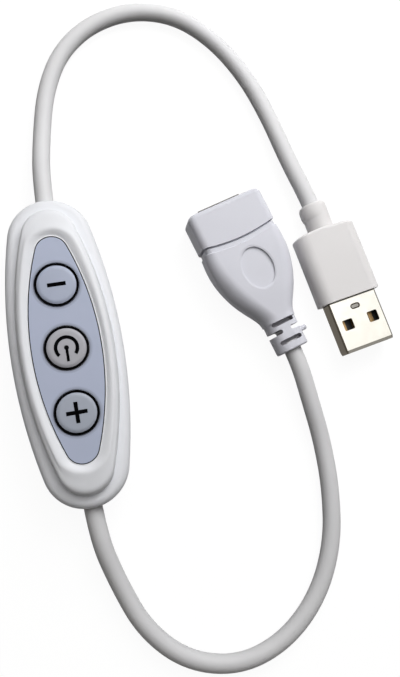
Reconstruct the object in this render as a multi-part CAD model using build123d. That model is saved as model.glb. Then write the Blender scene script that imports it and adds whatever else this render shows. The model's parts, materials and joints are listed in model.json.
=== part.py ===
from build123d import *
from collections import namedtuple
import math
import os

os.makedirs("parts", exist_ok=True)

# In-line dimmer on a short lead: a two-shell housing with three push buttons,
# a plug on the lead at the minus end and a socket on the lead at the plus end.
# Millimetres. Origin at the middle of the housing's underside, +Y towards the
# minus end, +X to the right when the buttons face up, +Z up.

Outline = namedtuple("Outline", "half_width half_length end_radius")

# Allowances for drawing: joined shapes overlap, cutting shapes run past the face
overlap = 0.2
past = 1.0

# Housing: its plan is a pointed oval, two long side arcs and two end arcs
housing_half_width = 12.0
housing_half_length = 33.5
housing_end_radius = 9.2
seam_height = 5.2
ledge_height = 9.4
crest_height = 12.3
ledge_round = 1.6
base_round = 1.8
base_draft = 0.9
skirt_draft = 0.1
seam_chamfer = 0.15
wall = 1.6
cavity_draft = 0.7
floor_thickness = 1.5

# Mound on the upper shell, measured in from the housing's outline
mound_side_set_in = 1.95
mound_end_set_in = 2.7
mound_end_radius = 5.9
mound_sink = 0.8
crest_side_set_in = 3.3
crest_end_set_in = 7.4
crest_end_radius = 5.7

# From foot to crest, how far the mound's ends have come in at each level: the
# sides rise in a quarter round, the ends in a steep step and a long ramp
mound_end_shares = (0.0, 0.05, 0.17, 0.75, 1.0)

# Joint between the shells: a tongue on the upper one in a rebate of the lower one
tongue_thickness = 0.65
tongue_depth = 1.2
tongue_clearance = 0.05
barb_height = 0.25
barb_thickness = 0.4
barb_length = 4.0
barb_drop = 0.6
barb_pitch = 16.0

# Fascia panel in its dished window, measured in from the mound's crest
rim_side_width = 1.35
rim_end_width = 1.85
window_end_radius = 3.6
dish_depth = 0.55
dish_land = 0.12
dish_turn = 0.35
panel_thickness = 1.0
panel_clearance = 0.22
shelf_width = 0.75
shelf_thickness = 0.85

# Buttons: a flat rim, a rounded shoulder inside it and a slight crown
button_spread = 0.561
panel_margin = 0.666
button_clearance = 0.08
button_stand = 0.12
button_edge_round = 0.1
button_rim_width = 0.62
shoulder_width = 0.8
shoulder_rise = 0.27
crown_rise = 0.06
flange_width = 0.43
flange_thickness = 0.6
flange_play = 0.05
flange_clearance = 0.16
boss_radius = 1.6
boss_height = 0.3

# Switches under the buttons
switch_width = 6.0
switch_height = 3.5
switch_corner = 0.3
switch_cover_thickness = 0.2
plunger_radius = 1.75
plunger_clearance = 0.07
plunger_collar_radius = 2.2
plunger_collar_thickness = 0.4
switch_pocket_radius = 2.3
switch_pocket_depth = 1.2
lead_width = 0.7
lead_thickness = 0.2
lead_reach = 1.5
lead_rise = 1.6
lead_spacing = 4.5

# Circuit board and its two pairs of posts
board_drop = 4.0
board_thickness = 1.0
board_inset = 2.6
board_end_gap = 2.1
post_x = 5.0
post_from_end = 4.6
post_radius = 1.5
upper_post_radius = 1.3
pin_radius = 0.7
pin_clearance = 0.05
pin_height = 1.0

# Chip between two switches, transistor between the other two
chip_length = 4.9
chip_width = 3.9
chip_height = 1.5
chip_stand = 0.1
chip_lead_pitch = 1.27
chip_lead_width = 0.4
chip_lead_reach = 1.0
package_chamfer = 0.2
transistor_end_gap = 0.55
transistor_width = 3.5
transistor_height = 1.6
transistor_lead_margin = 0.6
transistor_tab_width = 3.0

# Small parts: capacitors placed from the chip's middle, resistors from the
# transistor's, and a resistor beyond each outer switch
small_part_length = 2.0
small_part_width = 1.25
capacitor_height = 0.8
capacitor_places = ((5.5, -1.8), (5.5, 1.8), (-5.5, 0.0))
resistor_height = 0.55
resistor_places = ((-5.5, 1.8), (-5.5, -1.8), (6.2, 0.0))
outer_resistor_gap = 1.4

# Solder joints and the wires that end in them
pad_x = 2.0
pad_length = 1.4
pad_width = 1.5
pad_height = 0.9
pad_round = 0.4
pad_setback = 2.9
wire_radius = 0.55
wire_spread = 0.9
wire_splay = 0.4
wire_stand = 0.05
wire_rise = 0.1
wire_turn_gap = 0.3
wire_bend = 1.5

# Lead through the housing ends
cable_radius = 2.0
cable_set_in = 5.7
cradle_thickness = 0.8
cradle_gap = 0.6
clamp_radius = 2.55
clamp_length = 2.0

# Plug: shell, tongue and contacts of the standard type A form, moulded grip behind
plug_place = (65.37, 2.33)
plug_turn = -79.8
plug_thickness = 7.0
plug_width = 15.0
plug_length = 17.3
plug_side_round = 2.8
plug_rear_radius = 40.0
plug_rear_round = 0.6
plug_front_round = 0.5
collar_radius = 3.1
collar_end = 23.0
collar_round = 0.6
plug_bore_depth = 5.5
shell_width = 12.0
shell_height = 4.5
shell_sheet = 0.3
shell_corner = 0.45
shell_reach = 12.2
shell_seat = 8.0
nose_length = 0.7
nose_drop = 0.18
window_size = 2.5
window_round = 0.35
window_spacing = 6.3
window_from_end = 6.25
dimple_length = 2.4
dimple_width = 1.3
dimple_depth = 0.2
dimple_slope = 0.3
dimple_from_grip = 2.35
tongue_end_gap = 0.8
plug_tongue_height = 1.84
plug_tongue_root = 0.9

# Contacts, the same four rows in plug and socket
contact_width = 1.0
contact_sheet = 0.15
contact_proud = 0.05
contact_inner_pitch = 2.0
contact_outer_pitch = 7.0
contact_end_gap = 0.6
contact_stagger = 1.0

# Socket: the matching receptacle in a flared grip with a slotted strain relief
socket_place = (39.384, 27.842)
socket_turn = -73.8
head_width = 18.4
head_thickness = 8.6
head_length = 8.95
head_round = 1.6
head_front_round = 1.15
head_edge_round = 0.4
head_steps = 5
head_rear_radius = 40.0
groove_width = 0.4
groove_depth = 0.8
core_start = 5.0
core_reach = 3.0
band_width = 1.0
band_inset = 0.35
grip_edge_round = 0.15

# Sections of the grip: distance from the mouth, width, thickness, corner radius
grip_sections = (
    (8.45, 18.4, 8.3, 2.0),
    (12.65, 19.1, 8.5, 2.6),
    (16.85, 18.5, 8.5, 3.2),
    (20.65, 16.5, 8.3, 3.6),
    (24.05, 13.3, 8.0, 3.6),
    (27.05, 9.6, 7.6, 3.4),
    (29.65, 7.9, 7.3, 3.2),
)
oval_length = 9.7
oval_width = 7.2
oval_depth = 0.45
oval_place = (16.85, 0.3)

# Strain relief behind the grip, and the receptacle in the head
relief_width = 7.5
relief_thickness = 6.4
relief_round = 2.8
relief_end = 36.75
relief_end_round = 0.4
relief_web = 2.0
relief_overlap = 0.5
slot_places = (30.15, 32.1, 34.55)
slot_gap = 1.0
pocket_span = 5.4
stub_radius = 0.58
stub_reach = 5.1
stub_rise = 0.6
stub_round = 0.35
socket_bore_depth = 2.0
mouth_width = 13.1
mouth_height = 5.72
mouth_corner = 0.7
mouth_proud = 0.3
mouth_depth = 13.45
base_depth = 1.6
socket_tongue_width = 11.1
socket_tongue_thickness = 1.7
socket_tongue_offset = 0.15
socket_tongue_gap = 1.35
spring_bump = 0.25
spring_bump_width = 2.0
spring_bump_place = 6.45
spring_bump_spacing = 6.4

# Outlines and lengths that follow
housing = Outline(housing_half_width, housing_half_length, housing_end_radius)
mound_foot = Outline(
    housing_half_width - mound_side_set_in, housing_half_length - mound_end_set_in, mound_end_radius
)
mound_crest = Outline(
    housing_half_width - crest_side_set_in, housing_half_length - crest_end_set_in, crest_end_radius
)
window = Outline(
    mound_crest.half_width - rim_side_width, mound_crest.half_length - rim_end_width, window_end_radius
)
cable_inner_end = housing_half_length - cable_set_in
button_pitch = window.half_length * button_spread
between_switches = button_pitch - switch_width
transistor_length = between_switches - 2 * transistor_end_gap
transistor_lead_pitch = (transistor_length - lead_width) / 2 - transistor_lead_margin
outer_resistor_y = button_pitch + (switch_width + small_part_length) / 2 + outer_resistor_gap
board_half_length = cable_inner_end - board_end_gap
post_y = board_half_length - post_from_end
pad_edge = board_half_length - pad_setback + pad_length / 2

# Heights that follow
cable_height = seam_height
board_top = ledge_height - board_drop
board_bottom = board_top - board_thickness
panel_top = crest_height - dish_depth
panel_bottom = panel_top - panel_thickness
shelf_bottom = panel_bottom - shelf_thickness
flange_top = panel_bottom - flange_play
flange_bottom = flange_top - flange_thickness
boss_bottom = flange_bottom - boss_height
button_rim_height = panel_top + button_stand
switch_top = board_top + switch_height
cover_top = switch_top + switch_cover_thickness
button_names = {"minus": button_pitch, "power": 0.0, "plus": -button_pitch}
plug_height = plug_thickness / 2
socket_height = head_thickness / 2


def save(shape, node):
    export_step(shape, "parts/" + node + ".step")


def group(pieces):
    return Compound(children=list(pieces))


# Plan outlines
def inset(outline, distance):
    return Outline(*(size - distance for size in outline))


def between(first, last, share):
    return Outline(*(a + (b - a) * share for a, b in zip(first, last)))


def side_centre(outline):
    along = outline.half_length - outline.end_radius
    across = outline.half_width - outline.end_radius
    return (along ** 2 - across ** 2) / (2 * across)


def side_gap(outline, y):
    centre = side_centre(outline)
    return outline.half_width + centre - math.hypot(centre, y)


def oval(outline, height):
    centre = side_centre(outline)
    side_radius = outline.half_width + centre
    end_centre = outline.half_length - outline.end_radius
    lean = side_radius - outline.end_radius
    x = centre * side_radius / lean - centre
    y = end_centre * side_radius / lean
    edges = [
        ThreePointArc((x, -y), (outline.half_width, 0), (x, y)),
        ThreePointArc((x, y), (0, outline.half_length), (-x, y)),
        ThreePointArc((-x, y), (-outline.half_width, 0), (-x, -y)),
        ThreePointArc((-x, -y), (0, -outline.half_length), (x, -y)),
    ]
    return Pos(0, 0, height) * Face(Wire(edges))


def oval_prism(outline, low, high):
    return extrude(oval(outline, low), amount=high - low, dir=(0, 0, 1))


def oval_stack(levels, straight=True):
    return loft([oval(outline, height) for outline, height in levels], ruled=straight)


def box(low, high):
    size = [b - a for a, b in zip(low, high)]
    middle = [(a + b) / 2 for a, b in zip(low, high)]
    return Pos(*middle) * Box(*size)


def upright(radius, low, high, x=0.0, y=0.0):
    return Pos(x, y, (low + high) / 2) * Cylinder(radius, high - low)


def lengthwise(radius, low, high, height):
    return Pos(0, (low + high) / 2, height) * Rot(90, 0, 0) * Cylinder(radius, high - low)


# Buttons are as wide as the panel allows at the outer pair
button_radius = side_gap(window, button_pitch) - panel_clearance - button_clearance - panel_margin
flange_radius = button_radius + flange_width


# Housing shells
tongue_outer = inset(housing, wall - tongue_thickness)
cavity = inset(housing, wall)
mound_cavity = inset(mound_foot, wall)
rebate_depth = tongue_depth + tongue_clearance
barb_low = seam_height - barb_drop - barb_thickness
barb_high = seam_height - barb_drop
cradle_low = cable_inner_end + cradle_gap
cradle_high = cradle_low + cradle_thickness
clamp_low = cradle_high + tongue_clearance
ends = (1, -1)
post_places = [(sx * post_x, sy * post_y) for sx in ends for sy in ends]


def barb_band(outer, inner, low, high, length):
    band = oval_prism(outer, low, high) - oval_prism(inner, low, high)
    reach = housing_half_width
    return [
        band & box((-reach, y - length / 2, low), (reach, y + length / 2, high))
        for y in (-barb_pitch, 0, barb_pitch)
    ]


def cable_bores():
    outside = housing_half_length + past
    spans = [sorted((side * cable_inner_end, side * outside)) for side in ends]
    return [lengthwise(cable_radius, low, high, cable_height) for low, high in spans]


def cradle(side, low, high):
    reach = oval_prism(inset(cavity, tongue_clearance), low, high)
    near, far = sorted((side * cradle_low, side * cradle_high))
    return reach & box((-housing_half_width, near, low), (housing_half_width, far, high))


def lower_shell():
    body = oval_stack([
        (inset(housing, base_draft), 0),
        (housing, seam_height - seam_chamfer),
        (inset(housing, seam_chamfer), seam_height),
    ])
    underside = body.faces().sort_by(Axis.Z)[0]
    body = fillet(underside.edges(), base_round)
    body -= oval_stack([(inset(cavity, cavity_draft), floor_thickness), (cavity, seam_height)])
    body -= oval_prism(inset(tongue_outer, -tongue_clearance), seam_height - rebate_depth, seam_height + past)
    notch_outer = inset(tongue_outer, -barb_height - tongue_clearance)
    notch_inner = inset(cavity, -tongue_clearance)
    notch_low = barb_low - tongue_clearance
    notch_high = barb_high + tongue_clearance
    notch_length = barb_length + 2 * tongue_clearance
    for notch in barb_band(notch_outer, notch_inner, notch_low, notch_high, notch_length):
        body -= notch
    for side in ends:
        body += cradle(side, floor_thickness - overlap, seam_height)
    for x, y in post_places:
        body += upright(post_radius, floor_thickness - overlap, board_bottom, x, y)
        body += upright(pin_radius, board_bottom, board_top + pin_height, x, y)
    for bore in cable_bores():
        body -= bore
    return body


def mound_levels():
    rise = crest_height - ledge_height
    levels = [(mound_foot, ledge_height - mound_sink)]
    for step, end_share in enumerate(mound_end_shares):
        turn = math.pi / 2 * step / (len(mound_end_shares) - 1)
        side = between(mound_foot, mound_crest, 1 - math.cos(turn))
        end = between(mound_foot, mound_crest, end_share)
        outline = Outline(side.half_width, end.half_length, end.end_radius)
        levels.append((outline, ledge_height + rise * math.sin(turn)))
    dish_foot = inset(window, -dish_land)
    levels.append((between(mound_crest, dish_foot, 0.5), crest_height - dish_depth * dish_turn))
    levels.append((dish_foot, panel_top))
    return levels


def upper_shell():
    skirt = oval_stack([
        (inset(housing, seam_chamfer), seam_height),
        (housing, seam_height + seam_chamfer),
        (inset(housing, skirt_draft), ledge_height),
    ])
    shoulder = skirt.faces().sort_by(Axis.Z)[-1]
    body = fillet(shoulder.edges(), ledge_round)
    body += oval_stack(mound_levels(), straight=False)
    body -= oval_prism(cavity, seam_height - past, ledge_height - wall)
    body -= oval_prism(mound_cavity, seam_height, shelf_bottom)
    body -= oval_prism(window, panel_bottom, crest_height + past)
    body -= oval_prism(inset(window, shelf_width), shelf_bottom - past, crest_height)
    for y in button_names.values():
        body -= upright(flange_radius + flange_clearance, shelf_bottom - past, panel_bottom, 0, y)
    tongue = oval_prism(tongue_outer, seam_height - tongue_depth, seam_height + overlap)
    tongue -= oval_prism(cavity, seam_height - tongue_depth - past, seam_height + past)
    body += tongue
    barb_outer = inset(tongue_outer, -barb_height)
    barb_inner = inset(tongue_outer, overlap)
    for barb in barb_band(barb_outer, barb_inner, barb_low, barb_high, barb_length):
        body += barb
    for side in ends:
        body += cradle(side, seam_height, ledge_height - wall + overlap)
    for x, y in post_places:
        body += upright(upper_post_radius, board_top, shelf_bottom + overlap, x, y)
        pin_top = board_top + pin_height + pin_clearance
        body -= upright(pin_radius + pin_clearance, board_top - past, pin_top, x, y)
    for bore in cable_bores():
        body -= bore
    return body


def fascia_panel():
    body = oval_prism(inset(window, panel_clearance), panel_bottom, panel_top)
    for y in button_names.values():
        body -= upright(button_radius + button_clearance, panel_bottom - past, panel_top + past, 0, y)
    return body


# Buttons and switches
def button(y):
    foot_x = button_radius - button_rim_width
    shoulder_x = foot_x - shoulder_width
    shoulder_z = button_rim_height + shoulder_rise
    peak = shoulder_z + crown_rise
    shoulder_radius = (shoulder_width ** 2 + shoulder_rise ** 2) / (2 * shoulder_rise)
    half_turn = math.asin(shoulder_width / shoulder_radius) / 2
    bend_x = shoulder_x + shoulder_radius * math.sin(half_turn)
    bend_z = shoulder_z - shoulder_radius * (1 - math.cos(half_turn))
    crown_radius = (shoulder_x ** 2 + crown_rise ** 2) / (2 * crown_rise)
    crown_x = shoulder_x / 2
    crown_z = peak - crown_radius + math.sqrt(crown_radius ** 2 - crown_x ** 2)
    profile = Face(Wire([
        Line((0, boss_bottom), (boss_radius, boss_bottom)),
        Line((boss_radius, boss_bottom), (boss_radius, flange_bottom)),
        Line((boss_radius, flange_bottom), (flange_radius, flange_bottom)),
        Line((flange_radius, flange_bottom), (flange_radius, flange_top)),
        Line((flange_radius, flange_top), (button_radius, flange_top)),
        Line((button_radius, flange_top), (button_radius, button_rim_height)),
        Line((button_radius, button_rim_height), (foot_x, button_rim_height)),
        ThreePointArc((foot_x, button_rim_height), (bend_x, bend_z), (shoulder_x, shoulder_z)),
        ThreePointArc((shoulder_x, shoulder_z), (crown_x, crown_z), (0, peak)),
        Line((0, peak), (0, boss_bottom)),
    ]))
    rim = profile.vertices().sort_by_distance((button_radius, button_rim_height))[0]
    profile = fillet(rim, button_edge_round)
    return Pos(0, y, 0) * revolve(Plane.XZ * profile, axis=Axis.Z)


def plunger(y):
    collar_top = switch_top - flange_play
    stem = upright(plunger_radius, collar_top - plunger_collar_thickness, boss_bottom, 0, y)
    return stem + upright(plunger_collar_radius, collar_top - plunger_collar_thickness, collar_top, 0, y)


def switch_body(y):
    half = switch_width / 2
    body = box((-half, y - half, board_top), (half, y + half, switch_top))
    body = chamfer(body.edges().filter_by(Axis.Z), switch_corner)
    return body - upright(switch_pocket_radius, switch_top - switch_pocket_depth, switch_top + past, 0, y)


def switch_cover(y):
    half = switch_width / 2
    sheet = box((-half, y - half, switch_top), (half, y + half, cover_top))
    sheet = chamfer(sheet.edges().filter_by(Axis.Z), switch_corner)
    return sheet - upright(plunger_radius + plunger_clearance, switch_top - past, cover_top + past, 0, y)


def bent_lead(edge, y, width, reach, rise, side):
    foot = box((edge, y - width / 2, board_top), (edge + reach, y + width / 2, board_top + lead_thickness))
    riser = box((edge, y - width / 2, board_top), (edge + lead_thickness, y + width / 2, board_top + rise))
    lead = foot + riser
    return lead if side > 0 else mirror(lead, about=Plane.YZ)


def switch_leads():
    rows = [middle + end * lead_spacing / 2 for middle in button_names.values() for end in ends]
    return group(
        bent_lead(switch_width / 2, y, lead_width, lead_reach, lead_rise, side) for y in rows for side in ends
    )


# Circuit board
def circuit_board():
    body = oval_prism(inset(housing, board_inset), board_bottom, board_top)
    low = (-housing_half_width, -board_half_length, board_bottom)
    high = (housing_half_width, board_half_length, board_top)
    body &= box(low, high)
    for x, y in post_places:
        body -= upright(pin_radius + pin_clearance, board_bottom - past, board_top + past, x, y)
    return body


def controller_chip():
    low = board_top + chip_stand
    body = Pos(0, button_pitch / 2, low + chip_height / 2) * Box(chip_width, chip_length, chip_height)
    return chamfer(body.edges().group_by(Axis.Z)[-1], package_chamfer)


def controller_leads():
    rows = [button_pitch / 2 + chip_lead_pitch * step for step in (-1.5, -0.5, 0.5, 1.5)]
    rise = chip_height / 2 + chip_stand
    return group(
        bent_lead(chip_width / 2, y, chip_lead_width, chip_lead_reach, rise, side)
        for y in rows for side in ends
    )


def power_transistor():
    low = board_top + chip_stand
    middle = Pos(0, -button_pitch / 2, low + transistor_height / 2)
    body = middle * Box(transistor_width, transistor_length, transistor_height)
    return chamfer(body.edges().group_by(Axis.Z)[-1], package_chamfer)


def transistor_leads():
    middle = -button_pitch / 2
    edge = transistor_width / 2
    rise = transistor_height / 2
    rows = [middle + transistor_lead_pitch * step for step in (-1, 0, 1)]
    legs = [bent_lead(edge, y, lead_width, lead_reach, rise, 1) for y in rows]
    tab = bent_lead(edge, middle, transistor_tab_width, lead_reach, rise, -1)
    return group(legs + [tab])


def small_parts(places, height):
    middle = board_top + height / 2
    return group(Pos(x, y, middle) * Box(small_part_width, small_part_length, height) for x, y in places)


def capacitors():
    places = [(x, button_pitch / 2 + along) for x, along in capacitor_places]
    return small_parts(places, capacitor_height)


def resistors():
    places = [(x, -button_pitch / 2 + along) for x, along in resistor_places]
    places += [(0, side * outer_resistor_y) for side in ends]
    return small_parts(places, resistor_height)


def solder_joint(x, side):
    y = side * (board_half_length - pad_setback)
    joint = Pos(x, y, board_top + pad_height / 2) * Box(pad_width, pad_length, pad_height)
    return fillet(joint.edges().group_by(Axis.Z)[-1], pad_round)


def solder_joints():
    return group(solder_joint(across * pad_x, side) for across in ends for side in ends)


def wire(across, side):
    lying = board_top + wire_radius + wire_stand
    path = FilletPolyline(
        (across * wire_spread, side * (cable_inner_end + past), cable_height),
        (across * (wire_spread + wire_splay), side * (board_half_length + wire_turn_gap), lying + wire_rise),
        (across * pad_x, side * (pad_edge - overlap), lying),
        radius=wire_bend,
    )
    section = Plane(origin=path @ 0, z_dir=path % 0) * Circle(wire_radius)
    near, far = sorted((side * pad_edge, side * cable_inner_end))
    reach = housing_half_width
    return sweep(section, path=path) & box((-reach, near, 0), (reach, far, ledge_height))


# Lead: free stretches lie on the floor that the housing stands on
def local_point(place, turn, height, along, across=0.0):
    angle = math.radians(turn)
    x = place[0] + along * math.cos(angle) - across * math.sin(angle)
    y = place[1] + along * math.sin(angle) + across * math.cos(angle)
    return (x, y, height)


floor_lie = cable_radius
straight_before_plug = 1.0
straight_before_socket = 3.0
bend_share = 0.45
input_route = [
    (0, cable_inner_end, cable_height),
    (0, 39.0, cable_height),
    (1.65, 50.5, 2.6),
    (4.15, 61.7, floor_lie),
    (8.9, 71.0, floor_lie),
    (17.0, 77.5, floor_lie),
    (27.5, 80.1, floor_lie),
    (37.9, 77.7, floor_lie),
    (46.1, 70.4, floor_lie),
    (52.1, 60.3, floor_lie),
    (55.8, 49.1, floor_lie),
    (57.85, 38.1, 2.9),
    local_point(plug_place, plug_turn, plug_height, -collar_end - straight_before_plug),
    local_point(plug_place, plug_turn, plug_height, -collar_end + plug_bore_depth),
]
output_route = [
    (0, -cable_inner_end, cable_height),
    (0, -39.0, cable_height),
    (2.75, -50.1, 2.6),
    (6.7, -60.7, floor_lie),
    (14.4, -68.8, floor_lie),
    (25.1, -72.1, floor_lie),
    (35.8, -69.35, floor_lie),
    (44.8, -61.9, floor_lie),
    (50.5, -51.3, floor_lie),
    (52.6, -39.4, floor_lie),
    (52.8, -28.6, floor_lie),
    (51.6, -19.5, 3.3),
    local_point(socket_place, socket_turn, socket_height, relief_end + straight_before_socket),
    local_point(socket_place, socket_turn, socket_height, relief_end - socket_bore_depth),
]


def bend_radii(route):
    points = [Vector(*point) for point in route]
    radii = []
    for before, corner, after in zip(points, points[1:], points[2:]):
        inward = corner - before
        outward = after - corner
        turn = math.radians(inward.get_angle(outward))
        radii.append(bend_share * min(inward.length, outward.length) / math.tan(turn / 2))
    return radii


def cable(route, name):
    radii = bend_radii(route)
    path = FilletPolyline(*route, radius=radii)
    section = Plane(origin=path @ 0, z_dir=path % 0) * Circle(cable_radius)
    tube = sweep(section, path=path)
    ideal = math.pi * cable_radius ** 2 * path.length
    print(name, "length", round(path.length, 1), "smallest bend", round(min(radii), 1),
          "volume share", round(tube.volume / ideal, 4))
    print(name, "bends", [round(radius, 1) for radius in radii])
    return tube


def cable_clamp(side):
    near, far = sorted((side * clamp_low, side * (clamp_low + clamp_length)))
    ring = lengthwise(clamp_radius, near, far, cable_height)
    return ring - lengthwise(cable_radius, near - past, far + past, cable_height)


# Plug and socket are drawn along local X, then laid in place
def placed(shape, place, turn, height):
    return Location((place[0], place[1], height), (0, 0, turn)) * shape


def across_section(width, thickness, corner, x):
    plane = Plane(origin=(x, 0, 0), x_dir=(0, 1, 0), z_dir=(1, 0, 0))
    return plane * RectangleRounded(width, thickness, corner)


def bar(width, thickness, corner, start, end):
    return extrude(across_section(width, thickness, corner, start), amount=end - start, dir=(1, 0, 0))


def along_x(radius, start, end):
    return Pos((start + end) / 2, 0, 0) * Rot(0, 90, 0) * Cylinder(radius, end - start)


def curved_end(middle, radius):
    return Pos(middle - radius, 0, 0) * Cylinder(radius, 2 * head_thickness)


contact_rows = (
    -contact_outer_pitch / 2, -contact_inner_pitch / 2, contact_inner_pitch / 2, contact_outer_pitch / 2
)
plug_inner_width = shell_width - 2 * shell_sheet
plug_inner_height = shell_height - 2 * shell_sheet
plug_tongue_top = -plug_inner_height / 2 + plug_tongue_height


def plug_plan():
    plan = Pos(-plug_length / 2, 0) * Rectangle(plug_length, plug_width)
    plan &= Pos(plug_rear_radius - plug_length, 0) * Circle(plug_rear_radius)
    return fillet(plan.vertices().group_by(Axis.X)[-1], plug_front_round)


def plug_overmould():
    grip = bar(plug_width, plug_thickness, plug_side_round, -plug_length, 0)
    grip &= extrude(plug_plan(), amount=plug_thickness, both=True)
    grip_rear = grip.faces().sort_by(Axis.X)[0]
    grip = fillet(grip_rear.edges(), plug_rear_round)
    collar = along_x(collar_radius, -collar_end, -plug_length + past)
    rear = collar.edges().sort_by(Axis.X)[0]
    collar = fillet(rear, collar_round)
    grip += collar
    grip -= bar(shell_width, shell_height, shell_corner, -shell_seat, past)
    return grip - along_x(cable_radius, -collar_end - past, -collar_end + plug_bore_depth)


def shell_nose():
    start = across_section(shell_width, shell_height, shell_corner, shell_reach - nose_length)
    tip_size = (shell_width - 2 * nose_drop, shell_height - 2 * nose_drop, shell_corner - nose_drop)
    return loft([start, across_section(*tip_size, shell_reach)])


def dimple():
    levels = []
    for side in ends:
        spread = 2 * side * dimple_slope
        outline = Rot(0, 0, 90) * SlotOverall(dimple_length + spread, dimple_width + spread)
        levels.append(Pos(dimple_from_grip, 0, shell_height / 2 + side * dimple_depth) * outline)
    return loft(levels)


def plug_shell():
    tube = bar(shell_width, shell_height, shell_corner, -shell_seat, shell_reach - nose_length)
    tube += shell_nose()
    inner_corner = shell_corner - shell_sheet
    tube -= bar(plug_inner_width, plug_inner_height, inner_corner, -shell_seat - past, shell_reach + past)
    opening = RectangleRounded(window_size, window_size, window_round)
    opening = extrude(opening, amount=shell_height, both=True)
    for side in ends:
        tube -= Pos(shell_reach - window_from_end, side * window_spacing / 2, 0) * opening
    return tube - dimple()


def plug_contact(row):
    end = shell_reach - tongue_end_gap - contact_end_gap
    if abs(row) < contact_outer_pitch / 2:
        end -= contact_stagger
    top = plug_tongue_top + contact_proud
    half = contact_width / 2
    return box((-shell_seat, row - half, top - contact_sheet), (end, row + half, top))


def plug_contacts():
    return group(plug_contact(row) for row in contact_rows)


def plug_tongue():
    inner_corner = shell_corner - shell_sheet
    block = bar(plug_inner_width, plug_inner_height, inner_corner, -shell_seat, shell_reach - tongue_end_gap)
    open_low = (plug_tongue_root, -shell_width, plug_tongue_top)
    block -= box(open_low, (shell_reach, shell_width, shell_height))
    for row in contact_rows:
        block -= plug_contact(row)
    return block


def side_slot(middle):
    half = slot_gap / 2
    near = relief_web / 2 + half
    slot = box((middle - half, near, -relief_width), (middle + half, relief_width, relief_width))
    return slot + Pos(middle, near, 0) * Cylinder(half, 2 * relief_width)


def top_pocket(middle):
    outline = Pos(middle, 0, relief_web / 2) * Rot(0, 0, 90) * SlotOverall(pocket_span, slot_gap)
    return extrude(outline, amount=relief_thickness)


def gate_stub():
    middle = (slot_places[1] + slot_places[2]) / 2
    stub = Pos(middle, stub_reach / 2, stub_rise) * Rot(90, 0, 0) * Cylinder(stub_radius, stub_reach)
    tip = stub.edges().sort_by(Axis.Y)[-1]
    return fillet(tip, stub_round)


def slotted_relief():
    grip_end = grip_sections[-1][0]
    relief = bar(relief_width, relief_thickness, relief_round, grip_end - relief_overlap, relief_end)
    rear = relief.faces().sort_by(Axis.X)[-1]
    relief = fillet(rear.edges(), relief_end_round)
    for step, middle in enumerate(slot_places):
        cut = side_slot(middle) if step % 2 else top_pocket(middle)
        relief -= cut
        relief -= Rot(180, 0, 0) * cut
    return relief + gate_stub()


def head_front():
    sections = []
    for step in range(head_steps + 1):
        turn = math.pi / 2 * step / head_steps
        share = 1 - math.sin(turn)
        width = head_width - 2 * head_front_round * share
        thickness = head_thickness - 2 * head_edge_round * share
        corner = head_round - head_edge_round * share
        sections.append(across_section(width, thickness, corner, head_front_round * (1 - math.cos(turn))))
    return loft(sections)


def head_bar(set_in):
    width = head_width - 2 * set_in
    thickness = head_thickness - 2 * set_in
    return bar(width, thickness, head_round, core_start, head_length + core_reach)


def socket_grip(front):
    grip = loft([across_section(*sizes, x) for x, *sizes in grip_sections])
    grip -= curved_end(front, head_rear_radius)
    edges = grip.faces().sort_by(Axis.X)[0].edges()
    return fillet(edges, grip_edge_round)


def socket_overmould():
    band_start = head_length + groove_width
    band_end = band_start + band_width
    head = head_front() + bar(head_width, head_thickness, head_round, head_front_round, head_length + past)
    head &= curved_end(head_length, head_rear_radius)
    band = head_bar(band_inset) & curved_end(band_end, head_rear_radius)
    band -= curved_end(band_start, head_rear_radius)
    body = head + head_bar(groove_depth) + band + socket_grip(band_end) + slotted_relief()
    body -= bar(mouth_width, mouth_height, mouth_corner, -past, mouth_depth)
    body -= along_x(cable_radius, relief_end - socket_bore_depth, relief_end + past)
    recess = extrude(Ellipse(oval_length / 2, oval_width / 2), amount=head_thickness)
    grip_top = max(section[2] for section in grip_sections) / 2
    return body - Pos(*oval_place, grip_top - oval_depth) * recess


mouth_inner_width = mouth_width - 2 * shell_sheet
mouth_inner_height = mouth_height - 2 * shell_sheet


def socket_shell():
    inner_corner = mouth_corner - shell_sheet
    tube = bar(mouth_width, mouth_height, mouth_corner, -mouth_proud, mouth_depth)
    tube -= bar(mouth_inner_width, mouth_inner_height, inner_corner, -mouth_proud - past, mouth_depth + past)
    within = bar(mouth_width - shell_sheet, mouth_height - shell_sheet, mouth_corner, 0, mouth_depth)
    for across in ends:
        for side in ends:
            place = Pos(spring_bump_place, across * spring_bump_spacing / 2, side * mouth_inner_height / 2)
            tube += place * Rot(90, 0, 0) * Cylinder(spring_bump, spring_bump_width) & within
    return tube


def socket_contact(row):
    start = socket_tongue_gap + contact_end_gap
    half = contact_width / 2
    low = socket_tongue_offset - contact_proud
    return box((start, row - half, low), (mouth_depth, row + half, low + contact_sheet))


def socket_contacts():
    return group(socket_contact(row) for row in contact_rows)


def socket_tongue():
    base_start = mouth_depth - base_depth
    block = bar(mouth_inner_width, mouth_inner_height, mouth_corner - shell_sheet, base_start, mouth_depth)
    low = socket_tongue_offset
    half = socket_tongue_width / 2
    block += box((socket_tongue_gap, -half, low), (base_start + overlap, half, low + socket_tongue_thickness))
    for row in contact_rows:
        block -= socket_contact(row)
    return block


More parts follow.
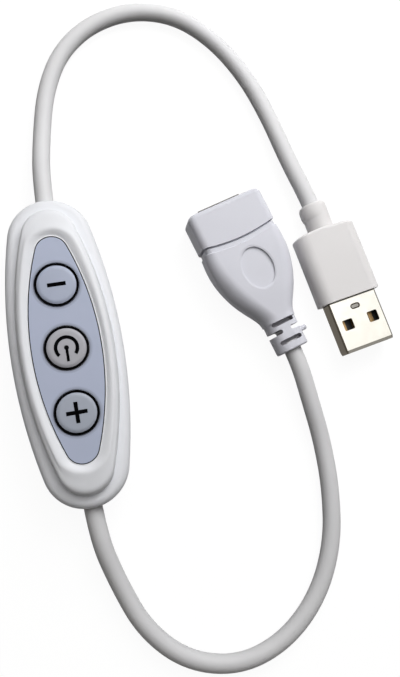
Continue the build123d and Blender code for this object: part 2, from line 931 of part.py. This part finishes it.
# Write every piece
save(lower_shell(), "lower_shell")
save(upper_shell(), "upper_shell")
save(fascia_panel(), "fascia_panel")
for name, middle in button_names.items():
    save(button(middle), name + "_button")
    save(plunger(middle), name + "_plunger")
    save(switch_body(middle), name + "_switch_body")
    save(switch_cover(middle), name + "_switch_cover")
save(switch_leads(), "switch_leads")
save(circuit_board(), "circuit_board")
save(controller_chip(), "controller_chip")
save(controller_leads(), "controller_leads")
save(power_transistor(), "power_transistor")
save(transistor_leads(), "transistor_leads")
save(capacitors(), "capacitors")
save(resistors(), "resistors")
save(solder_joints(), "solder_joints")
save(wire(1, 1), "input_wire_positive")
save(wire(-1, 1), "input_wire_negative")
save(wire(1, -1), "output_wire_positive")
save(wire(-1, -1), "output_wire_negative")
save(cable_clamp(1), "input_cable_clamp")
save(cable_clamp(-1), "output_cable_clamp")
save(cable(input_route, "input cable"), "input_cable")
save(cable(output_route, "output cable"), "output_cable")

plug_makers = {
    "plug_overmould": plug_overmould,
    "plug_shell": plug_shell,
    "plug_tongue": plug_tongue,
    "plug_contacts": plug_contacts,
}
for node, maker in plug_makers.items():
    save(placed(maker(), plug_place, plug_turn, plug_height), node)

socket_makers = {
    "socket_overmould": socket_overmould,
    "socket_shell": socket_shell,
    "socket_tongue": socket_tongue,
    "socket_contacts": socket_contacts,
}
for node, maker in socket_makers.items():
    save(placed(maker(), socket_place, socket_turn, socket_height), node)
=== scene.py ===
import json
import math

import bpy
from mathutils import Matrix, Vector


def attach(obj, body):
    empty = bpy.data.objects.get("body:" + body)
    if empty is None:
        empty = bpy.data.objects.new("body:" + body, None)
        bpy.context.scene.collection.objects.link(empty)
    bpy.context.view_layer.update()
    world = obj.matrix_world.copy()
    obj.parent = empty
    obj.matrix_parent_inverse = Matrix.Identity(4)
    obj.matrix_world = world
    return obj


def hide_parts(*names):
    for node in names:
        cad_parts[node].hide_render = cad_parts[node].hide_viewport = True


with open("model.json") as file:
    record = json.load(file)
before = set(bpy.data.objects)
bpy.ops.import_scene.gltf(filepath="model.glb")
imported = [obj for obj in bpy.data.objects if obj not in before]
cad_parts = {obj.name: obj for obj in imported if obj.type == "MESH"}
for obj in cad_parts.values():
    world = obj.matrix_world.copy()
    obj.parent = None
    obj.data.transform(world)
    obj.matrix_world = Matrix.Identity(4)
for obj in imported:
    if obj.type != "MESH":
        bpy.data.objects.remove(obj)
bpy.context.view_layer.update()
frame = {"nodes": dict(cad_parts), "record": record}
nodes = frame["nodes"]
scene = bpy.context.scene
mm = 0.001

# Sizes, places and headings of the CAD part, in millimetres and degrees
cable_radius = 2.0
cable_height = 5.2
cable_inner_end = 27.8
floor_lie = cable_radius
panel_top = 11.75
button_places = {"minus": 13.604, "power": 0.0, "plus": -13.604}
button_radius = 4.726
button_rim_width = 0.62
button_rim_height = 11.87
button_edge_round = 0.1
shoulder_width = 0.8
shoulder_rise = 0.27
crown_rise = 0.06
plug_place = (65.37, 2.33)
plug_turn = -79.8
plug_height = 3.5
shell_top = 5.75
dimple_along = 2.35
dimple_half_length = 1.25
dimple_half_width = 0.7
socket_place = (39.384, 27.842)
socket_turn = -73.8
socket_height = 4.3
oval_along = 16.85
oval_across = 0.3
oval_half_length = 4.85
oval_half_width = 3.6
relief_middle = 33.2
relief_half_length = 3.7
pocket_half_span = 2.7


def direction(turn):
    angle = math.radians(turn)
    return Vector((math.cos(angle), math.sin(angle), 0))


def place_along(place, turn, along, across=0.0):
    """Plan place at these distances along and across a heading."""
    return (Vector((*place, 0)) + direction(turn) * along + direction(turn + 90) * across).to_2d()


def add_object(name, data):
    thing = bpy.data.objects.new(name, data)
    scene.collection.objects.link(thing)
    return thing


def add_mesh(name, points, faces):
    """An object from points in millimetres."""
    mesh = bpy.data.meshes.new(name)
    mesh.from_pydata([Vector(point) * mm for point in points], [], faces)
    mesh.validate()
    mesh.update()
    return add_object(name, mesh)


def add_node(tree, kind, operation=None):
    node = tree.nodes.new("ShaderNode" + kind)
    if operation:
        node.operation = operation
    return node


# Camera, solved from the photograph in the housing's frame
camera_place = Vector((3.68, -22.91, 164.74)) * mm
camera_right = Vector((0.97502599, -0.17946097, 0.13083612))
camera_down = Vector((-0.15867808, -0.97509246, -0.15497085))
camera_forward = Vector((0.15538853, 0.13033978, -0.97921701))
focal_length_px = 732.6
frame_height_px = 677
sensor_size = 36.0


def add_camera():
    data = bpy.data.cameras.new("camera")
    # The sensor spans the frame's longer side, its height
    data.sensor_width = sensor_size
    data.lens = sensor_size * focal_length_px / frame_height_px
    data.clip_start = 0.005
    data.clip_end = 5.0
    camera = add_object("camera", data)
    turn = Matrix((camera_right, -camera_down, -camera_forward)).transposed()
    camera.matrix_world = Matrix.Translation(camera_place) @ turn.to_4x4()
    scene.camera = camera


add_camera()

# Cables, on the routes of the CAD tubes
input_route = [
    (0, cable_inner_end, cable_height),
    (0, 39.0, cable_height),
    (1.65, 50.5, 2.6),
    (4.15, 61.7, floor_lie),
    (8.9, 71.0, floor_lie),
    (17.0, 77.5, floor_lie),
    (27.5, 80.1, floor_lie),
    (37.9, 77.7, floor_lie),
    (46.1, 70.4, floor_lie),
    (52.1, 60.3, floor_lie),
    (55.8, 49.1, floor_lie),
    (57.85, 38.1, 2.9),
    (61.12, 25.951, plug_height),
    (62.271, 19.553, plug_height),
]
output_route = [
    (0, -cable_inner_end, cable_height),
    (0, -39.0, cable_height),
    (2.75, -50.1, 2.6),
    (6.7, -60.7, floor_lie),
    (14.4, -68.8, floor_lie),
    (25.1, -72.1, floor_lie),
    (35.8, -69.35, floor_lie),
    (44.8, -61.9, floor_lie),
    (50.5, -51.3, floor_lie),
    (52.6, -39.4, floor_lie),
    (52.8, -28.6, floor_lie),
    (51.6, -19.5, 3.3),
    (50.474, -10.33, socket_height),
    (49.079, -5.528, socket_height),
]


def cable_curve(name, route):
    """A round cord whose thickness comes from the radius of its route's points."""
    curve = bpy.data.curves.new(name, "CURVE")
    curve.dimensions = "3D"
    spline = curve.splines.new("NURBS")
    spline.points.add(len(route) - 1)
    for point, place in zip(spline.points, route):
        point.co = (*(Vector(place) * mm), 1.0)
        point.radius = cable_radius * mm
    spline.order_u = 3
    spline.use_endpoint_u = True
    spline.resolution_u = 24
    curve.bevel_depth = 1.0
    curve.bevel_resolution = 12
    curve.use_fill_caps = True
    return add_object(name, curve)


input_cable = cable_curve("input_cable_jacket", input_route)
output_cable = cable_curve("output_cable_jacket", output_route)
for cable, node in ((input_cable, "input_cable"), (output_cable, "output_cable")):
    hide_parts(node)
    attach(cable, "housing")


# Materials
class Shader:
    """One material: a principled shader and the nodes that feed it."""

    def __init__(self, name, colour, roughness, metallic=0.0):
        self.name = name
        self.material = bpy.data.materials.new(name)
        self.material.use_nodes = True
        self.tree = self.material.node_tree
        self.surface = self.tree.nodes["Principled BSDF"]
        self.colour = (*colour, 1.0)
        self.set(Base_Color=self.colour, Roughness=roughness, Metallic=metallic)
        place = self.node("TexCoord")
        self.coordinates = place.outputs["Object"]
        self.normal = place.outputs["Normal"]
        self.bumped_normal = None

    def node(self, kind, operation=None):
        return add_node(self.tree, kind, operation)

    def link(self, source, target):
        self.tree.links.new(source, target)

    def set(self, **values):
        """Plain values; an underscore stands for a space in a socket's name."""
        for name, value in values.items():
            self.surface.inputs[name.replace("_", " ")].default_value = value
        return self

    def calculate(self, operation, *values):
        """Result of a Math node whose inputs are sockets or numbers."""
        node = self.node("Math", operation)
        for slot, value in zip(node.inputs, values):
            if isinstance(value, (int, float)):
                slot.default_value = value
            else:
                self.link(value, slot)
        return node.outputs["Value"]

    def both(self, first, second):
        """1 where both masks are 1."""
        return self.calculate("MULTIPLY", first, second)

    def spread(self, factor, low, high, start=0.3, end=0.7):
        """The factor's range from start to end, stretched from low to high."""
        spread = self.node("MapRange")
        span = (("From Min", start), ("From Max", end), ("To Min", low), ("To Max", high))
        for name, value in span:
            spread.inputs[name].default_value = value
        self.link(factor, spread.inputs["Value"])
        return spread.outputs["Result"]

    def noise(self, size, detail=3.0):
        """Noise of this size in millimetres."""
        mapping = self.node("Mapping")
        mapping.inputs["Scale"].default_value = [1 / (size * mm)] * 3
        noise = self.node("TexNoise")
        noise.inputs["Scale"].default_value = 1.0
        noise.inputs["Detail"].default_value = detail
        self.link(self.coordinates, mapping.inputs["Vector"])
        self.link(mapping.outputs["Vector"], noise.inputs["Vector"])
        return noise.outputs["Fac"]

    def upward(self, vector):
        """The z part of a vector."""
        parts = self.node("SeparateXYZ")
        self.link(vector, parts.inputs["Vector"])
        return parts.outputs["Z"]

    def steep(self, flat, upright):
        """0 where the normal points up or down by flat or more, 1 by upright or less."""
        facing_up = self.calculate("ABSOLUTE", self.upward(self.normal))
        return self.spread(facing_up, 0.0, 1.0, flat, upright)

    def below(self, height):
        """1 below a height in millimetres, 0 above it."""
        return self.calculate("LESS_THAN", self.upward(self.coordinates), height * mm)

    def along(self, place, turn):
        """Distance along a heading in the plan, in metres from a place."""
        heading = direction(turn)
        dot = self.node("VectorMath", "DOT_PRODUCT")
        dot.inputs[1].default_value = heading
        self.link(self.coordinates, dot.inputs[0])
        start = heading.dot(Vector((*place, 0))) * mm
        return self.calculate("SUBTRACT", dot.outputs["Value"], start)

    def oval_reach(self, place, turn, half_length, half_width):
        """0 on an oval column's axis, 1 on its wall, and more outside it."""
        first = self.calculate("DIVIDE", self.along(place, turn), half_length * mm)
        second = self.calculate("DIVIDE", self.along(place, turn + 90), half_width * mm)
        squares = [self.calculate("MULTIPLY", share, share) for share in (first, second)]
        return self.calculate("SQRT", self.calculate("ADD", *squares))

    def in_oval(self, place, turn, half_length, half_width):
        """1 inside an upright oval column, 0 outside it."""
        return self.calculate("LESS_THAN", self.oval_reach(place, turn, half_length, half_width), 1.0)

    def in_slab(self, place, turn, half):
        """1 within this distance along a heading from a place, 0 beyond it."""
        return self.calculate("LESS_THAN", self.calculate("ABSOLUTE", self.along(place, turn)), half * mm)

    def in_block(self, place, turn, half_length, half_width):
        """1 inside an upright block, 0 outside it."""
        return self.both(self.in_slab(place, turn, half_length), self.in_slab(place, turn + 90, half_width))

    def nearest(self, places):
        """Distance in the plan from the nearest of these places, in metres."""
        flat = self.node("VectorMath", "MULTIPLY")
        flat.inputs[1].default_value = (1, 1, 0)
        self.link(self.coordinates, flat.inputs[0])
        least = None
        for x, y in places:
            gap = self.node("VectorMath", "DISTANCE")
            gap.inputs[1].default_value = (x * mm, y * mm, 0)
            self.link(flat.outputs["Vector"], gap.inputs[0])
            distance = gap.outputs["Value"]
            least = distance if least is None else self.calculate("MINIMUM", least, distance)
        return least

    def tint(self, factor, other, start=0.3, end=0.7):
        """Colour that drifts from the one so far to another."""
        mix = self.node("Mix")
        mix.data_type = "RGBA"
        base = self.surface.inputs["Base Color"]
        if base.is_linked:
            self.link(base.links[0].from_socket, mix.inputs["A"])
        else:
            mix.inputs["A"].default_value = self.colour
        mix.inputs["B"].default_value = (*other, 1.0)
        self.link(self.spread(factor, 0.0, 1.0, start, end), mix.inputs["Factor"])
        self.link(mix.outputs["Result"], base)
        return self

    def paint(self, mask, other):
        """Another colour where a mask is 1."""
        return self.tint(mask, other, 0.0, 1.0)

    def rough(self, factor, low, high):
        """Roughness that drifts from low to high."""
        self.link(self.spread(factor, low, high), self.surface.inputs["Roughness"])
        return self

    def bump(self, factor, depth, strength=1.0):
        """Relief of a depth in millimetres, on top of the relief so far."""
        bump = self.node("Bump")
        bump.inputs["Distance"].default_value = depth * mm
        bump.inputs["Strength"].default_value = strength
        self.link(factor, bump.inputs["Height"])
        if self.bumped_normal is not None:
            self.link(self.bumped_normal, bump.inputs["Normal"])
        self.bumped_normal = bump.outputs["Normal"]
        self.link(self.bumped_normal, self.surface.inputs["Normal"])
        return self


def scaled(colour, share):
    return tuple(share * channel for channel in colour)


def moulded_plastic(name, colour, drift, roughness, grain_depth, grain_size=0.12, gloss=0.35):
    """Plastic with slow waves and a fine grain; its colour and roughness drift."""
    colour_patch, rough_patch = 9.0, 1.4
    smoother, rougher = 0.05, 0.06
    wave_size, wave_depth, wave_strength = 6.0, 0.03, 0.5
    shader = Shader(name, colour, roughness)
    shader.tint(shader.noise(colour_patch), drift)
    shader.rough(shader.noise(rough_patch), roughness - smoother, roughness + rougher)
    shader.bump(shader.noise(wave_size, detail=1.0), wave_depth, wave_strength)
    shader.bump(shader.noise(grain_size, detail=2.0), grain_depth)
    return shader.set(Specular_IOR_Level=gloss)


def plain_plastic(name, colour, roughness):
    darker = 0.9
    colour_patch, rough_patch = 1.5, 0.6
    smoother, rougher = 0.05, 0.08
    grain_size, grain_depth = 0.08, 0.003
    shader = Shader(name, colour, roughness)
    shader.tint(shader.noise(colour_patch), scaled(colour, darker))
    shader.rough(shader.noise(rough_patch), roughness - smoother, roughness + rougher)
    return shader.bump(shader.noise(grain_size), grain_depth)


def metal(name, colour, roughness):
    darker = 0.93
    colour_patch, rough_patch = 2.0, 0.25
    smoother, rougher = 0.04, 0.07
    grain_size, grain_depth = 0.12, 0.0012
    shader = Shader(name, colour, roughness, metallic=1.0)
    shader.tint(shader.noise(colour_patch), scaled(colour, darker))
    shader.rough(shader.noise(rough_patch), roughness - smoother, roughness + rougher)
    return shader.bump(shader.noise(grain_size), grain_depth)


# Near black, painted as the shade in narrow gaps
painted_gap_shade = (0.02, 0.02, 0.025)


def housing_plastic():
    """White, with painted shade in the narrow gap round the panel."""
    gap_half_length, gap_half_width, gap_depth = 25.2, 8.0, 0.03
    shader = moulded_plastic("housing_plastic", colour=(0.80, 0.812, 0.845), drift=(0.785, 0.797, 0.83),
                             roughness=0.48, grain_depth=0.0035)
    column = shader.in_oval((0, 0), 90, gap_half_length, gap_half_width)
    # Painted shade in the gap round the panel, below the panel's top
    return shader.paint(shader.both(column, shader.below(panel_top - gap_depth)), painted_gap_shade)


def panel_plastic():
    """Painted shade darkens the panel a little round the buttons, and the cut edge is painted dark as the
    shade in the gap.
    """
    button_shade_reach, button_shade_strength, button_shade_colour = 0.75, 5 / 6, (0.20, 0.22, 0.28)
    edge_flat, edge_upright = 0.7, 0.3
    shader = moulded_plastic("panel_plastic", colour=(0.435, 0.475, 0.61), drift=(0.415, 0.46, 0.585),
                             roughness=0.45, grain_depth=0.003, grain_size=0.1)
    distance = shader.nearest([(0, y) for y in button_places.values()])
    edge = button_radius * mm
    # Painted shade round each button, fading out over the reach
    button_shade = shader.spread(distance, button_shade_strength, 0.0, edge, edge + button_shade_reach * mm)
    shader.paint(button_shade, button_shade_colour)
    # Painted shade on the panel's upright cut edge
    return shader.paint(shader.steep(edge_flat, edge_upright), painted_gap_shade)


button_colours = {
    "minus": (0.40, 0.44, 0.555),
    "power": (0.405, 0.405, 0.44),
    "plus": (0.365, 0.395, 0.465),
}


def button_plastic(key):
    darker = 0.965
    colour = button_colours[key]
    return moulded_plastic(key + "_button_plastic", colour, drift=scaled(colour, darker),
                           roughness=0.45, grain_depth=0.003, grain_size=0.1)


# The soft mouldings of the leads shine less than the housing
soft_gloss = 0.15


def cable_jacket():
    return moulded_plastic("cable_jacket", colour=(0.72, 0.72, 0.73), drift=(0.695, 0.695, 0.71),
                           roughness=0.46, grain_depth=0.0012, grain_size=0.3, gloss=soft_gloss)


def plug_moulding():
    return moulded_plastic("plug_moulding", colour=(0.77, 0.755, 0.755), drift=(0.75, 0.735, 0.735),
                           roughness=0.45, grain_depth=0.004, grain_size=0.14, gloss=soft_gloss)


def socket_moulding():
    """White, with painted shade on the oval's walls and in the pockets of the strain relief."""
    wall_allowance, wall_flat, wall_upright, oval_wall_shade_colour = 0.1, 0.9, 0.3, (0.42, 0.42, 0.47)
    edge_start, edge_end, edge_fall = 0.98, 1.1, 0.12
    pocket_shade_top, pocket_shade_colour = 6.75, (0.46, 0.45, 0.48)
    shader = moulded_plastic("socket_moulding", colour=(0.685, 0.69, 0.75), drift=(0.665, 0.67, 0.73),
                             roughness=0.48, grain_depth=0.004, grain_size=0.14, gloss=soft_gloss)
    oval = place_along(socket_place, socket_turn, oval_along, oval_across)
    column = shader.in_oval(oval, socket_turn, oval_half_length + wall_allowance,
                            oval_half_width + wall_allowance)
    # Painted shade on the walls of the oval recess
    shader.paint(shader.both(column, shader.steep(wall_flat, wall_upright)), oval_wall_shade_colour)
    reach = shader.oval_reach(oval, socket_turn, oval_half_length, oval_half_width)
    shader.bump(shader.spread(reach, 0.0, 1.0, edge_start, edge_end), edge_fall)
    relief = place_along(socket_place, socket_turn, relief_middle)
    block = shader.in_block(relief, socket_turn, relief_half_length, pocket_half_span)
    # Painted shade in the pockets of the strain relief
    return shader.paint(shader.both(block, shader.below(pocket_shade_top)), pocket_shade_colour)


def plated_shell():
    """Bright flat faces with a faint smear; painted shade darkens the bent edges and sides, the dimple and
    the strip at the grip.
    """
    smear_size, smear_colour = 3.0, (0.61, 0.59, 0.535)
    rough_patch, smoothest, roughest = 1.2, 0.17, 0.25
    dimple_depth, dimple_shade_colour = 0.15, (0.22, 0.21, 0.19)
    bend_flat, bend_upright, bend_shade_colour = 0.996, 0.955, (0.085, 0.073, 0.056)
    shade_end, shade_full, shade_colour = 0.36, 0.22, (0.03, 0.025, 0.02)
    shader = Shader("plated_shell", (0.64, 0.62, 0.565), smoothest, metallic=1.0)
    shader.tint(shader.noise(smear_size), smear_colour)
    shader.rough(shader.noise(rough_patch), smoothest, roughest)
    dimple = place_along(plug_place, plug_turn, dimple_along)
    column = shader.in_oval(dimple, plug_turn + 90, dimple_half_length, dimple_half_width)
    # Painted shade in the dimple
    shader.paint(shader.both(column, shader.below(shell_top - dimple_depth)), dimple_shade_colour)
    # Painted shade on the bent edges and steep sides of the shell
    shader.paint(shader.steep(bend_flat, bend_upright), bend_shade_colour)
    from_grip = shader.along(plug_place, plug_turn)
    # Painted shade on the strip of shell next to the grip
    shader.tint(from_grip, shade_colour, shade_end * mm, shade_full * mm)
    return shader.set(Specular_Tint=(0.75, 0.73, 0.70, 1.0))


def board_laminate():
    blotch_size, blotch_colour = 0.8, (0.02, 0.11, 0.04)
    shader = plain_plastic("board_laminate", (0.03, 0.16, 0.06), 0.35)
    return shader.tint(shader.noise(blotch_size, detail=0.0), blotch_colour)


def ink():
    shader = plain_plastic("ink", (0.0025, 0.0025, 0.003), 0.6)
    return shader.set(Specular_IOR_Level=0.0)


# Colour and roughness of the plainer materials
plain_plastics = {
    "switch_plastic": ((0.02, 0.02, 0.022), 0.4),
    "package_plastic": ((0.015, 0.015, 0.016), 0.5),
    "ceramic": ((0.36, 0.24, 0.13), 0.4),
    "red_wire": ((0.45, 0.02, 0.015), 0.4),
    "black_wire": ((0.012, 0.012, 0.012), 0.4),
    "clamp_plastic": ((0.72, 0.72, 0.70), 0.4),
    "tongue_plastic": ((0.02, 0.02, 0.02), 0.45),
    "socket_tongue_plastic": ((0.78, 0.78, 0.77), 0.4),
}
metals = {
    "cover_metal": ((0.62, 0.61, 0.60), 0.3),
    "tinned_metal": ((0.66, 0.66, 0.67), 0.3),
    "solder": ((0.65, 0.65, 0.66), 0.25),
    # The socket's shell: a darkened copy of plated metal, painted shade on its edge
    "shaded_socket_shell_metal": ((0.22, 0.215, 0.205), 0.3),
    # The socket's lip: near-black metal, painted shade on the shell's rim
    "lip_shade_metal": ((0.07, 0.068, 0.064), 0.4),
    # Gold darkened as painted shade on the contacts deep inside the connectors
    "gold_contact": ((0.33, 0.215, 0.10), 0.35),
}

shaders = [housing_plastic(), panel_plastic(), cable_jacket(), plug_moulding(), socket_moulding(),
           plated_shell(), board_laminate(), ink()]
shaders += [button_plastic(key) for key in button_places]
shaders += [plain_plastic(name, *look) for name, look in plain_plastics.items()]
shaders += [metal(name, *look) for name, look in metals.items()]
materials = {shader.name: shader.material for shader in shaders}

# Nodes whose look differs from that of their slot
own_looks = {key + "_button": key + "_button_plastic" for key in button_places}
own_looks["socket_shell"] = "shaded_socket_shell_metal"


def dress(piece, look):
    piece.data.materials.clear()
    piece.data.materials.append(materials[look])


for entry in frame["record"]["subparts"]:
    dress(nodes[entry["node"]], own_looks.get(entry["node"], entry["material_slot"]))
for cable in (input_cable, output_cable):
    dress(cable, "cable_jacket")

# Signs on the buttons: thin ink that follows each button's crown
ink_thickness = 0.02
ring_outer = 4.68
ring_inner = 4.13
ring_steps = 160
sign_width = 0.83
minus_length = 3.9
minus_width = 0.85
plus_length = 4.4
power_radius = 2.6
power_width = 0.73
power_gap = 98.0
power_steps = 72
stem_length = 2.9
stem_width = 0.8 * power_width
dot_radius = 0.5
dot_hole = 0.02
dot_steps = 24


def arc_fall(distance, width, rise):
    """How far an arc of this width and rise has fallen from its level top at a distance."""
    radius = (width ** 2 + rise ** 2) / (2 * rise)
    return radius - math.sqrt(radius ** 2 - distance ** 2)


def cap_height(x, y):
    """Height of a button's top at a place measured from the button's middle."""
    distance = math.hypot(x, y)
    foot = button_radius - button_rim_width
    shoulder = foot - shoulder_width
    top = button_rim_height + shoulder_rise
    if distance <= shoulder:
        return top + crown_rise - arc_fall(distance, shoulder, crown_rise)
    if distance <= foot:
        return top - arc_fall(distance - shoulder, shoulder_width, shoulder_rise)
    past_round = max(distance - (button_radius - button_edge_round), 0.0)
    return button_rim_height - arc_fall(past_round, button_edge_round, button_edge_round)


def ink_sheet(name, rows, key, closed=False):
    """A thin closed sheet on a button, from rows of points across it."""
    middle = button_places[key]
    across = len(rows[0])
    points = []
    for lift in (ink_thickness, -ink_thickness):
        for row in rows:
            points += [(x, y + middle, cap_height(x, y) + lift) for x, y in row]
    layer = len(rows) * across
    faces = []
    for step in range(len(rows) if closed else len(rows) - 1):
        here = step * across
        there = (step + 1) % len(rows) * across
        for column in range(across - 1):
            quad = (here + column, here + column + 1, there + column + 1, there + column)
            faces.append(quad)
            faces.append(tuple(layer + index for index in reversed(quad)))
        for column, flip in ((0, False), (across - 1, True)):
            side = (here + column, there + column, layer + there + column, layer + here + column)
            faces.append(side[::-1] if flip else side)
    if not closed:
        for start, flip in ((0, True), (layer - across, False)):
            for corner in range(start, start + across - 1):
                side = (corner, corner + 1, layer + corner + 1, layer + corner)
                faces.append(side if flip else side[::-1])
    piece = add_mesh(name, points, faces)
    dress(piece, "ink")
    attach(piece, key + "_key")


def arc_rows(inner, outer, start, end, steps, across=6):
    rows = []
    for step in range(steps):
        angle = math.radians(start + (end - start) * step / (steps - 1))
        radii = [inner + (outer - inner) * column / (across - 1) for column in range(across)]
        rows.append([(radius * math.cos(angle), radius * math.sin(angle)) for radius in radii])
    return rows


def circle_rows(inner, outer, steps):
    return arc_rows(inner, outer, 0, 360, steps + 1)[:-1]


def bar_rows(start, end, width, steps=12, across=6):
    along = Vector(end) - Vector(start)
    side = Vector((-along.y, along.x)).normalized() * width
    rows = []
    for step in range(steps):
        middle = Vector(start) + along * step / (steps - 1)
        rows.append([tuple(middle + side * (column / (across - 1) - 0.5)) for column in range(across)])
    return rows


def add_signs():
    for key in button_places:
        ink_sheet(key + "_ring", circle_rows(ring_inner, ring_outer, ring_steps), key, closed=True)
    half_minus = minus_length / 2
    half_plus = plus_length / 2
    ink_sheet("minus_sign", bar_rows((-half_minus, 0), (half_minus, 0), minus_width), "minus")
    ink_sheet("plus_sign_across", bar_rows((-half_plus, 0), (half_plus, 0), sign_width), "plus")
    ink_sheet("plus_sign_along", bar_rows((0, -half_plus), (0, half_plus), sign_width), "plus")
    # The arc's gap opens towards the plus button
    arc_start = -90 + power_gap / 2
    arc_end = arc_start + 360 - power_gap
    power_arc = arc_rows(power_radius - power_width, power_radius, arc_start, arc_end, power_steps)
    ink_sheet("power_sign_arc", power_arc, "power")
    ink_sheet("power_sign_stem", bar_rows((0, 0), (0, -stem_length), stem_width), "power")
    ink_sheet("power_sign_dot", circle_rows(dot_hole, dot_radius, dot_steps), "power", closed=True)


add_signs()

# The folded lip of the socket's metal shell: it starts inside the grip and ends proud of the mouth. Its
# near-black metal is painted shade on the rim.
lip_root = 0.5
lip_reach = 0.45
lip_width = 10.4
lip_low = 7.1
lip_high = 7.4
lip_across = -0.9


def add_lip():
    points = []
    for height in (lip_low, lip_high):
        for along, side in ((-lip_reach, -1), (-lip_reach, 1), (lip_root, 1), (lip_root, -1)):
            across = lip_across + side * lip_width / 2
            points.append((*place_along(socket_place, socket_turn, along, across), height))
    faces = [(3, 2, 1, 0), (4, 5, 6, 7), (0, 1, 5, 4), (1, 2, 6, 5), (2, 3, 7, 6), (3, 0, 4, 7)]
    lip = add_mesh("socket_lip", points, faces)
    dress(lip, "lip_shade_metal")
    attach(lip, "housing")
    return lip


socket_lip = add_lip()

# The bead of the plug's collar: distance from its rear, radius, and how much fuller it is on the left
bead_rear = -23.65
bead_steps = 72
bead_profile = [
    (0, 1.9, 0),
    (0, 2.5, 0),
    (0.04, 2.7, 0),
    (0.14, 2.87, 0.02),
    (0.3, 3.0, 0.05),
    (0.55, 3.09, 0.12),
    (0.9, 3.13, 0.2),
    (1.5, 3.12, 0.28),
    (2.2, 3.1, 0.33),
    (2.9, 3.085, 0.3),
    (3.3, 3.075, 0.2),
    (3.65, 3.065, 0.05),
    (3.8, 3.05, 0),
    (3.85, 2.95, 0),
    (3.85, 1.9, 0),
]


def add_bead():
    points = []
    for step in range(bead_steps):
        angle = 2 * math.pi * step / bead_steps
        leftness = (0.5 - 0.5 * math.cos(angle)) ** 2
        for along, plain_radius, bulge in bead_profile:
            radius = plain_radius + bulge * leftness
            place = place_along(plug_place, plug_turn, bead_rear + along, radius * math.cos(angle))
            points.append((*place, plug_height + radius * math.sin(angle)))
    across = len(bead_profile)
    faces = []
    for step in range(bead_steps):
        here = step * across
        there = (step + 1) % bead_steps * across
        for column in range(across):
            after = (column + 1) % across
            faces.append((here + column, there + column, there + after, here + after))
    bead = add_mesh("plug_bead", points, faces)
    bead.data.shade_smooth()
    dress(bead, "plug_moulding")
    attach(bead, "housing")
    return bead


plug_bead = add_bead()

# Floor, lights and background
floor_white = 0.09
floor_half = 2000.0
background_glow = 0.94
world_light = (1.0, 0.93, 0.84)
world_strength = 0.08


def seen_glow(tree):
    """1 for rays of the camera, of gloss and through glass, 0 for others."""
    path = add_node(tree, "LightPath")
    total = path.outputs["Is Camera Ray"]
    for kind in ("Is Glossy Ray", "Is Transmission Ray"):
        add = add_node(tree, "Math", "ADD")
        add.use_clamp = True
        tree.links.new(total, add.inputs[0])
        tree.links.new(path.outputs[kind], add.inputs[1])
        total = add.outputs["Value"]
    return total


def add_floor():
    corners = [(-floor_half, -floor_half, 0), (floor_half, -floor_half, 0),
               (floor_half, floor_half, 0), (-floor_half, floor_half, 0)]
    floor = add_mesh("floor", corners, [(0, 1, 2, 3)])
    material = bpy.data.materials.new("floor")
    material.use_nodes = True
    tree = material.node_tree
    tree.nodes.clear()
    diffuse = add_node(tree, "BsdfDiffuse")
    diffuse.inputs["Color"].default_value = (floor_white, floor_white, floor_white, 1.0)
    level = add_node(tree, "Math", "MULTIPLY")
    level.inputs[1].default_value = background_glow
    glow = add_node(tree, "Emission")
    both = add_node(tree, "AddShader")
    output = add_node(tree, "OutputMaterial")
    tree.links.new(seen_glow(tree), level.inputs[0])
    tree.links.new(level.outputs["Value"], glow.inputs["Strength"])
    tree.links.new(diffuse.outputs["BSDF"], both.inputs[0])
    tree.links.new(glow.outputs["Emission"], both.inputs[1])
    tree.links.new(both.outputs["Shader"], output.inputs["Surface"])
    floor.data.materials.append(material)


def add_world():
    world = bpy.data.worlds.new("world")
    world.use_nodes = True
    tree = world.node_tree
    soft = tree.nodes["Background"]
    soft.inputs["Color"].default_value = (*world_light, 1.0)
    soft.inputs["Strength"].default_value = world_strength
    seen = add_node(tree, "Background")
    seen.inputs["Color"].default_value = (1.0, 1.0, 1.0, 1.0)
    seen.inputs["Strength"].default_value = background_glow
    mix = add_node(tree, "MixShader")
    tree.links.new(seen_glow(tree), mix.inputs["Fac"])
    tree.links.new(soft.outputs["Background"], mix.inputs[1])
    tree.links.new(seen.outputs["Background"], mix.inputs[2])
    tree.links.new(mix.outputs["Shader"], tree.nodes["World Output"].inputs["Surface"])
    scene.world = world


def add_area_light(name, place, aim, side, power):
    """A square lamp; place, aim and side are in metres, power in watts."""
    data = bpy.data.lights.new(name, "AREA")
    data.shape = "RECTANGLE"
    data.size = data.size_y = side
    data.energy = power
    light = add_object(name, data)
    light.location = place
    light.rotation_euler = (Vector(aim) - Vector(place)).to_track_quat("-Z", "Y").to_euler()


add_floor()
add_world()
add_area_light("key_light", place=(0.17, 0.21, 0.21), aim=(0.03, 0, 0), side=0.2, power=0.80)
add_area_light("high_light", place=(0.04, 0.22, 0.48), aim=(0.03, 0, 0), side=0.36, power=0.95)
add_area_light("top_light", place=(0.32, 0.09, 0.68), aim=(0.05, 0, 0), side=0.5, power=0.43)
scene.view_settings.view_transform = "Standard"
